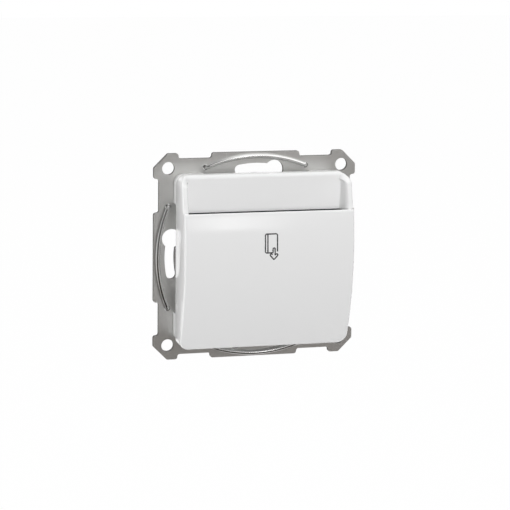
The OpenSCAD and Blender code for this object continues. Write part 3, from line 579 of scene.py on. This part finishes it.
# What metals share: size of the clouds and the tarnish, how tarnish and lines change the gloss, and the
# depth of the lines in metres
CLOUD_SCALE = 220.0
TARNISH_SCALE = 140.0
TARNISH_GLOSS = 0.18
LINES_GLOSS = 0.3
LINES_DEPTH = 0.00003


def group(name, inputs, outputs):
    """A shader node group with named inputs and value outputs. Returns the tree and its two end nodes."""
    tree = bpy.data.node_groups.new(name, "ShaderNodeTree")
    for label, kind, default in inputs:
        socket = tree.interface.new_socket(label, in_out="INPUT", socket_type=kind)
        socket.default_value = default
    for label in outputs:
        tree.interface.new_socket(label, in_out="OUTPUT", socket_type=VALUE)
    return tree, tree.nodes.new("NodeGroupInput"), tree.nodes.new("NodeGroupOutput")


def put(tree, kind, values=None, **settings):
    """A node of that kind with its settings, and with its inputs set to values or linked to sockets."""
    node = tree.nodes.new(kind)
    for key, value in settings.items():
        setattr(node, key, value)
    for key, value in (values or {}).items():
        if isinstance(value, bpy.types.NodeSocket):
            tree.links.new(value, node.inputs[key])
        else:
            node.inputs[key].default_value = value
    return node


def sums(tree, operation, a, b=0.0, c=None):
    """One math node of two or three values, as its result."""
    values = {0: a, 1: b}
    if c is not None:
        values[2] = c
    return put(tree, "ShaderNodeMath", values, operation=operation).outputs[0]


def remap(tree, value, low, high, to_low=0.0, to_high=1.0):
    """A value carried from one range to another, kept inside it."""
    values = {0: value, 1: low, 2: high, 3: to_low, 4: to_high}
    return put(tree, "ShaderNodeMapRange", values, clamp=True).outputs[0]


def noise(tree, place, scale, **sockets):
    """A noise texture of that scale, as its value."""
    return put(tree, "ShaderNodeTexNoise", {"Vector": place, "Scale": scale, **sockets}).outputs[0]


def blend(tree, share, first, second):
    """The first colour, with the second in its place by share."""
    return put(tree, "ShaderNodeMix", {0: share, 6: first, 7: second}, data_type="RGBA").outputs[2]


def grain_group():
    """Fine surface grain: two sizes of noise, as a height and as a spread about zero."""
    tree, start, end = group(
        "surface_grain", [("Vector", VECTOR, (0, 0, 0)), ("Fine", VALUE, 2600), ("Coarse", VALUE, 500)],
        ["Height", "Spread"])
    fine = noise(tree, start.outputs[0], start.outputs[1], Detail=3.0, Roughness=0.6)
    coarse = noise(tree, start.outputs[0], start.outputs[2], Detail=2.0, Roughness=0.5)
    height = sums(tree, "ADD", sums(tree, "MULTIPLY", fine, 0.6), sums(tree, "MULTIPLY", coarse, 0.4))
    tree.links.new(height, end.inputs[0])
    tree.links.new(sums(tree, "SUBTRACT", height, 0.5), end.inputs[1])
    return tree


def handling_group():
    """Faint handling marks: soft smudges and a few thin scuffs, as a mask from 0 to 1."""
    tree, start, end = group(
        "handling_marks", [("Vector", VECTOR, (0, 0, 0)), ("Smudge", VALUE, 60), ("Amount", VALUE, 0.5)],
        ["Mask"])
    smudge = noise(tree, start.outputs[0], start.outputs[1], Detail=4.0, Distortion=0.8)
    bent = put(tree, "ShaderNodeMapping",
               {"Vector": start.outputs[0], "Rotation": (0.3, 0.6, 0.2), "Scale": (1.0, 1.0, 14.0)})
    scuff = noise(tree, bent.outputs[0], 90.0, Detail=6.0, Roughness=0.7)
    marks = sums(tree, "MAXIMUM", remap(tree, smudge, 0.45, 0.75), remap(tree, scuff, 0.66, 0.74))
    tree.links.new(sums(tree, "MULTIPLY", marks, start.outputs[2]), end.inputs[0])
    return tree


def drawn_group():
    """Lines left by rolling or drawing: noise stretched along one direction, as a height about one
    half."""
    tree, start, end = group(
        "drawn_lines",
        [("Vector", VECTOR, (0, 0, 0)), ("Stretch", VECTOR, (1, 1, 1)), ("Scale", VALUE, 900)],
        ["Height"])
    bent = put(tree, "ShaderNodeMapping", {"Vector": start.outputs[0], "Scale": start.outputs[1]})
    lines = noise(tree, bent.outputs[0], start.outputs[2], Detail=5.0, Roughness=0.65)
    tree.links.new(lines, end.inputs[0])
    return tree


def sheared_group():
    """Sheared or punched edge of sheet metal: 1 where the surface doesn't face along the sheet's
    thickness. The zinc finish paints these edges near black, partly as painted shade."""
    tree, start, end = group("sheared_edge", [("Normal", VECTOR, (0, 0, 1))], ["Mask"])
    parts = put(tree, "ShaderNodeSeparateXYZ", {0: start.outputs[0]})
    facing = sums(tree, "ABSOLUTE", parts.outputs[1])
    tree.links.new(remap(tree, facing, 0.45, 0.75, 1.0, 0.0), end.inputs[0])
    return tree


GRAIN, HANDLING, DRAWN, SHEARED = grain_group(), handling_group(), drawn_group(), sheared_group()


def effect(tree, node_group, **sockets):
    """One of the shared effects in a material, with its own values or links. Gives its outputs."""
    return put(tree, "ShaderNodeGroup", sockets, node_tree=node_group).outputs


def finish_tree(name, colour, roughness, metallic=0.0, **sockets):
    """A material with one Principled shader whose plain values are set on its own sockets."""
    finish = bpy.data.materials.new(name)
    finish.use_nodes = True
    tree = finish.node_tree
    shader = tree.nodes["Principled BSDF"]
    shader.inputs["Base Color"].default_value = (*colour, 1)
    shader.inputs["Roughness"].default_value = roughness
    shader.inputs["Metallic"].default_value = metallic
    for key, value in sockets.items():
        shader.inputs[key].default_value = value
    finish.diffuse_color = (*colour, 1)
    return finish, tree, shader, tree.nodes.new("ShaderNodeTexCoord").outputs


def tinted(tree, colour, value, spread_by):
    """The colour made lighter and darker by value, which runs about zero."""
    factor = sums(tree, "MULTIPLY_ADD", value, spread_by, 1.0)
    return put(tree, "ShaderNodeVectorMath", {0: colour, 1: factor}, operation="MULTIPLY").outputs[0]


def about_zero(tree, value):
    """A value from 0 to 1, moved so that it runs about zero."""
    return sums(tree, "SUBTRACT", value, 0.5)


def bumped(tree, shader, height, strength, distance):
    """A bump of that height into the shader's normal."""
    bump = put(tree, "ShaderNodeBump", {"Height": height, "Strength": strength, "Distance": distance})
    tree.links.new(bump.outputs[0], shader.inputs["Normal"])


def plastic(name, colour, roughness, tint=0.04, marks=0.25, bump=0.08, speckle=0.0):
    """Moulded plastic: fine mould grain in the bump and the gloss, slight shade drift, handling marks,
    and speckle for a filled plastic."""
    finish, tree, shader, coords = finish_tree(name, colour, roughness, IOR=1.49)
    place = coords["Object"]
    grain = effect(tree, GRAIN, Vector=place)
    touched = effect(tree, HANDLING, Vector=place, Amount=marks)[0]
    drift = about_zero(tree, noise(tree, place, DRIFT_SCALE, Detail=2.0))
    shade = sums(tree, "ADD", drift, sums(tree, "MULTIPLY", touched, MARK_SHADE))
    base = tinted(tree, colour, shade, tint)
    if speckle:
        cell = put(tree, "ShaderNodeTexVoronoi", {"Vector": place, "Scale": SPECKLE_SCALE, "Randomness": 1.0})
        dot = remap(tree, cell.outputs["Distance"], 0.12, 0.3, speckle, 0.0)
        base = tinted(tree, base, sums(tree, "MULTIPLY", dot, -1.0), 1.0)
    tree.links.new(base, shader.inputs["Base Color"])
    worn = sums(tree, "MULTIPLY_ADD", touched, MARK_GLOSS, roughness)
    gloss = sums(tree, "MULTIPLY_ADD", grain["Spread"], GRAIN_GLOSS, worn)
    tree.links.new(gloss, shader.inputs["Roughness"])
    bumped(tree, shader, grain["Height"], bump, GRAIN_DEPTH)
    return finish


def metal(name, colour, roughness, stretch=(1.0, 1.0, 1.0), scale=900, tarnish=(0.5, 0.5, 0.5),
          tarnished=0.25, tint=0.12, bump=0.06):
    """Bare or plated metal: lines of rolling or turning in gloss and bump, cloudy shade, and tarnish in
    patches."""
    finish, tree, shader, coords = finish_tree(name, colour, roughness, metallic=1.0)
    place = coords["Object"]
    lines = effect(tree, DRAWN, Vector=place, Stretch=stretch, Scale=scale)[0]
    touched = effect(tree, HANDLING, Vector=place, Smudge=TARNISH_SCALE, Amount=tarnished)[0]
    cloud = about_zero(tree, noise(tree, place, CLOUD_SCALE, Detail=4.0))
    base = tinted(tree, colour, sums(tree, "ADD", cloud, about_zero(tree, lines)), tint)
    tree.links.new(blend(tree, touched, base, (*tarnish, 1)), shader.inputs["Base Color"])
    worn = sums(tree, "MULTIPLY_ADD", touched, TARNISH_GLOSS, roughness)
    gloss = sums(tree, "MULTIPLY_ADD", about_zero(tree, lines), LINES_GLOSS, worn)
    tree.links.new(gloss, shader.inputs["Roughness"])
    bumped(tree, shader, lines, bump, LINES_DEPTH)
    return finish


def score_lines(tree, place):
    """Mask of the thin score lines across the four tabs: 1 where the smaller of the distances from the
    plate's two middle lines is SCORE_AT and the larger lies past SCORE_OUT."""
    parts = put(tree, "ShaderNodeSeparateXYZ", {0: place})
    wide, tall = sums(tree, "ABSOLUTE", parts.outputs[0]), sums(tree, "ABSOLUTE", parts.outputs[2])
    off = sums(tree, "ABSOLUTE", sums(tree, "SUBTRACT", sums(tree, "MINIMUM", wide, tall), SCORE_AT))
    beside = remap(tree, off, *SCORE_SIDE, 1.0, 0.0)
    return sums(tree, "MULTIPLY", beside, remap(tree, sums(tree, "MAXIMUM", wide, tall), *SCORE_OUT))


def zinc_sheet_finish():
    """Zinc-plated sheet: rolling lines, cloudy zinc, rougher sheared edges painted near black, which is
    partly the cut steel's darker tone and partly painted shade in the hole walls and along the edges, and the
    thin score lines across the tabs."""
    colour, roughness = (0.80, 0.795, 0.775), 0.33
    # Sheared edges are near black: partly the darker tone of cut steel, partly painted shade in the hole
    # walls and along the edges
    scored_colour, edge_wear_and_shade_colour = (0.9, 0.9, 0.88, 1), (0.10, 0.098, 0.093, 1)
    finish, tree, shader, coords = finish_tree("zinc_sheet", colour, roughness, metallic=1.0)
    place = coords["Object"]
    lines = effect(tree, DRAWN, Vector=place, Stretch=(0.08, 1.0, 1.0), Scale=2600.0)[0]
    touched = effect(tree, HANDLING, Vector=place, Smudge=110.0, Amount=0.35)[0]
    edge_wear_and_shade = effect(tree, SHEARED, Normal=coords["Normal"])[0]
    score = score_lines(tree, place)
    cloud = about_zero(tree, noise(tree, place, 260.0, Detail=5.0, Roughness=0.6))
    base = tinted(tree, colour, sums(tree, "ADD", cloud, about_zero(tree, lines)), 0.05)
    scored = blend(tree, sums(tree, "MULTIPLY", score, 0.6), base, scored_colour)
    # Near-black sheared edges: partly painted shade
    tree.links.new(blend(tree, edge_wear_and_shade, scored, edge_wear_and_shade_colour), shader.inputs["Base Color"])
    worn = sums(tree, "MULTIPLY_ADD", touched, 0.06, sums(tree, "MULTIPLY_ADD", edge_wear_and_shade, 0.22, roughness))
    gloss = sums(tree, "MULTIPLY_ADD", about_zero(tree, lines), 0.08, worn)
    tree.links.new(gloss, shader.inputs["Roughness"])
    bumped(tree, shader, sums(tree, "MULTIPLY_ADD", score, 0.8, lines), 0.012, LINES_DEPTH)
    return finish


zinc_sheet = zinc_sheet_finish()
spring_wire = metal("spring_wire", (0.76, 0.76, 0.75), 0.09, scale=1600, tarnish=(0.5, 0.5, 0.48),
                    tarnished=0.1, tint=0.06, bump=0.006)
white_cover = plastic("white_cover", (0.80, 0.80, 0.80), 0.10, tint=0.02, marks=0.2, bump=0.01)
white_frame = plastic("white_frame", (0.74, 0.74, 0.735), 0.5, marks=0.3)
# Near-black finish for the card guide: painted shade inside the card slot, above the lip
dark_plastic = plastic("dark_plastic", (0.03, 0.031, 0.033), 0.5, tint=0.08)
grey_plastic = plastic("grey_plastic", (0.46, 0.47, 0.48), 0.42, tint=0.05)
housing_plastic = plastic("housing_plastic", (0.56, 0.57, 0.575), 0.5, tint=0.06, speckle=0.25, bump=0.12)
sign_ink = plastic("sign_ink", (0.04, 0.039, 0.041), 0.5, tint=0.10, marks=0.3)
steel_pin = metal("steel_pin", (0.60, 0.60, 0.60), 0.28, stretch=(1.0, 0.2, 1.0))
bronze_strip = metal("bronze_strip", (0.72, 0.45, 0.24), 0.28, stretch=(1.0, 1.0, 0.1),
                     tarnish=(0.38, 0.22, 0.13), tarnished=0.35)
contact_silver = metal("contact_silver", (0.86, 0.85, 0.82), 0.2, scale=1500, tarnish=(0.45, 0.42, 0.36),
                       tarnished=0.3)
brass = metal("brass", (0.78, 0.58, 0.28), 0.3, stretch=(1.0, 0.15, 1.0), tarnish=(0.42, 0.29, 0.14),
              tarnished=0.35)

FINISHES = {
    zinc_sheet: ["support_plate"],
    # The card guide's near-black finish paints the shade inside the card slot
    dark_plastic: ["card_guide"],
    white_frame: ["cover_carrier"],
    grey_plastic: ["card_lever", "plunger"],
    housing_plastic: ["mechanism_lid", "rear_housing"],
    steel_pin: ["lever_pin", "blade_pin", "housing_rivets", "terminal_screws"],
    bronze_strip: ["contact_blade"],
    contact_silver: ["blade_rivet", "break_rivet", "make_rivet"],
    brass: ["common_bracket", "break_contact", "make_contact", "terminal_pillars"],
}
for finish, names in FINISHES.items():
    for name in names:
        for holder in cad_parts[name].material_slots:
            holder.material = finish

make_cover(white_cover)
make_frame_springs(spring_wire)
make_return_spring(steel_pin)
make_sign(sign_ink)


# Camera, lamps and floor

# What the lamps point at: the switch's middle, and the spots of the cover that show the two small windows
SWITCH_MIDDLE = (0, -0.01, 0)
WIDE_WINDOW_AT = (-0.016, -0.021, 0.0146)
NARROW_WINDOW_AT = (-0.002, -0.021, 0.0145)

# Light of the room that shiny surfaces show in front of the switch: its strength in the middle, on the right
# and on the left, how much stronger it is high up on the right, what it loses low down, and what is left of
# it on the ground, with the ground's tint
ROOM_MIDDLE = 0.06
ROOM_RIGHT = 0.42
ROOM_LEFT = 0.2
HIGH_GAIN = 3.2
LOW_LOSS = 0.5
GROUND_SHARE = 0.12
GROUND_TINT = (1, 0.87, 0.79, 1)
EVEN_LIGHT = 0.30

# Where each of these comes in: between two values of the direction across, along or up
RIGHT_BAND = (-0.1, 0.15)
LEFT_BAND = (-0.4, -0.6)
BEHIND_BAND = (-0.15, 0.25)
HIGH_BAND = (0.12, 0.28)
LOW_BAND = (-0.1, -0.28)
GROUND_BAND = (-0.3, -0.5)

# Plain white, and the share of it that the floor shows the camera
WHITE = (1, 1, 1, 1)
FLOOR_GLOW = 0.985


def standing(right, up, back, spot):
    """The matrix of a camera or lamp at spot, whose axes are its right, its up and the direction behind
    it."""
    return Matrix([[right[i], up[i], back[i], spot[i]] for i in range(3)] + [[0, 0, 0, 1]])


def make_camera():
    """A long lens that looks down on the switch from the left, at the photograph's place."""
    lens = bpy.data.cameras.new("studio_camera")
    lens.sensor_fit = "HORIZONTAL"
    lens.sensor_width = 36.0
    lens.lens = 145.85
    lens.clip_start = 0.02
    camera = bpy.data.objects.new("studio_camera", lens)
    right, up = (0.96363, -0.26694, 0.01283), (0.03594, 0.17699, 0.98356)
    back = (-0.26482, -0.94733, 0.18014)
    spot = (-0.187513, -0.672638, 0.127441)
    camera.matrix_world = standing(right, up, back, spot)
    bpy.context.scene.collection.objects.link(camera)
    bpy.context.scene.camera = camera


def make_lamp(name, spot, aim, width, height, power, mirrored=True):
    """A soft box of that size at spot, turned towards aim. It shows in shiny surfaces where mirrored is
    true."""
    lamp = bpy.data.lights.new(name, "AREA")
    lamp.shape = "RECTANGLE"
    lamp.size, lamp.size_y, lamp.energy = width, height, power
    holder = bpy.data.objects.new(name, lamp)
    away = np.asarray(spot, float) - np.asarray(aim, float)
    back = away / np.linalg.norm(away)
    right = np.cross((0.0, 0.0, 1.0), back)
    right /= np.linalg.norm(right)
    up = np.cross(back, right)
    holder.matrix_world = standing(right, up, back, spot)
    holder.visible_glossy = mirrored
    bpy.context.scene.collection.objects.link(holder)


def make_world():
    """White to the camera, an even light on the object, and for reflections white behind the object and a
    dim room in front, which is darkest in the middle, brighter on the upper right, and darker and warmer
    towards the ground."""
    world = bpy.data.worlds.new("studio")
    bpy.context.scene.world = world
    world.use_nodes = True
    tree = world.node_tree
    tree.nodes.clear()
    path = tree.nodes.new("ShaderNodeLightPath").outputs
    way = put(tree, "ShaderNodeSeparateXYZ", {0: tree.nodes.new("ShaderNodeTexCoord").outputs["Generated"]})
    across, along, up = way.outputs
    low = remap(tree, up, *LOW_BAND)
    high = remap(tree, up, *HIGH_BAND, 1.0, HIGH_GAIN)
    deep = remap(tree, up, *GROUND_BAND, 1.0, GROUND_SHARE)
    right = sums(tree, "MULTIPLY", remap(tree, across, *RIGHT_BAND, ROOM_MIDDLE, ROOM_RIGHT), high)
    left = remap(tree, across, *LEFT_BAND, ROOM_MIDDLE, ROOM_LEFT)
    fading = sums(tree, "MULTIPLY", sums(tree, "MULTIPLY_ADD", low, -LOW_LOSS, 1.0), deep)
    front = sums(tree, "MULTIPLY", sums(tree, "MAXIMUM", right, left), fading)
    behind = remap(tree, along, *BEHIND_BAND)
    room = sums(tree, "MULTIPLY_ADD", behind, sums(tree, "SUBTRACT", 1.0, front), front)
    ground = sums(tree, "MULTIPLY", low, sums(tree, "SUBTRACT", 1.0, behind))
    warm = blend(tree, ground, WHITE, GROUND_TINT)
    even = put(tree, "ShaderNodeBackground", {"Color": WHITE, "Strength": EVEN_LIGHT})
    shown = put(tree, "ShaderNodeBackground", {"Color": WHITE, "Strength": 1.0})
    seen = put(tree, "ShaderNodeBackground", {"Color": warm, "Strength": room})
    mirrored = {0: path["Is Glossy Ray"], 1: even.outputs[0], 2: seen.outputs[0]}
    glossy = put(tree, "ShaderNodeMixShader", mirrored)
    clear = sums(tree, "MAXIMUM", path["Is Camera Ray"], path["Is Transmission Ray"])
    whole = put(tree, "ShaderNodeMixShader", {0: clear, 1: glossy.outputs[0], 2: shown.outputs[0]})
    put(tree, "ShaderNodeOutputWorld", {0: whole.outputs[0]})


def make_floor():
    """A pale floor well below the switch, near white to the camera, which keeps the shadow. Shiny
    surfaces show the room in its place."""
    half, front, level = 3.0, -0.06, -0.125
    points = [(-half, front, level), (half, front, level), (half, half, level), (-half, half, level)]
    mesh = bpy.data.meshes.new("floor")
    mesh.from_pydata(points, [], [[0, 1, 2, 3]])
    finish, tree, shader, _ = finish_tree("pale_floor", (0.86, 0.86, 0.86), 0.8)
    path = tree.nodes.new("ShaderNodeLightPath").outputs
    glow = put(tree, "ShaderNodeEmission", {"Color": WHITE, "Strength": 1.0})
    rays = sums(tree, "MAXIMUM", path["Is Camera Ray"], path["Is Transmission Ray"])
    share = sums(tree, "MULTIPLY", rays, FLOOR_GLOW)
    mix = put(tree, "ShaderNodeMixShader", {0: share, 1: shader.outputs[0], 2: glow.outputs[0]})
    tree.links.new(mix.outputs[0], tree.nodes["Material Output"].inputs[0])
    mesh.materials.append(finish)
    floor = bpy.data.objects.new("floor", mesh)
    floor.visible_glossy = False
    bpy.context.scene.collection.objects.link(floor)


make_camera()
make_world()
make_floor()
make_lamp("key_softbox", (-0.04, -1.20, 0.22), SWITCH_MIDDLE, 0.5, 0.5, 9.6, mirrored=False)
make_lamp("overhead_softbox", (0, 0.15, 1.13), SWITCH_MIDDLE, 0.7, 0.4, 6.5, mirrored=False)
make_lamp("left_softbox", (-1.20, 0.10, 0.15), SWITCH_MIDDLE, 0.5, 0.5, 6.5, mirrored=False)
make_lamp("window_wide", (0.26, -1.08, 0.123), WIDE_WINDOW_AT, 0.036, 0.15, 0.09)
make_lamp("window_narrow", (0.295, -1.075, 0.119), NARROW_WINDOW_AT, 0.017, 0.14, 0.026)
bpy.context.scene.view_settings.view_transform = "Standard"
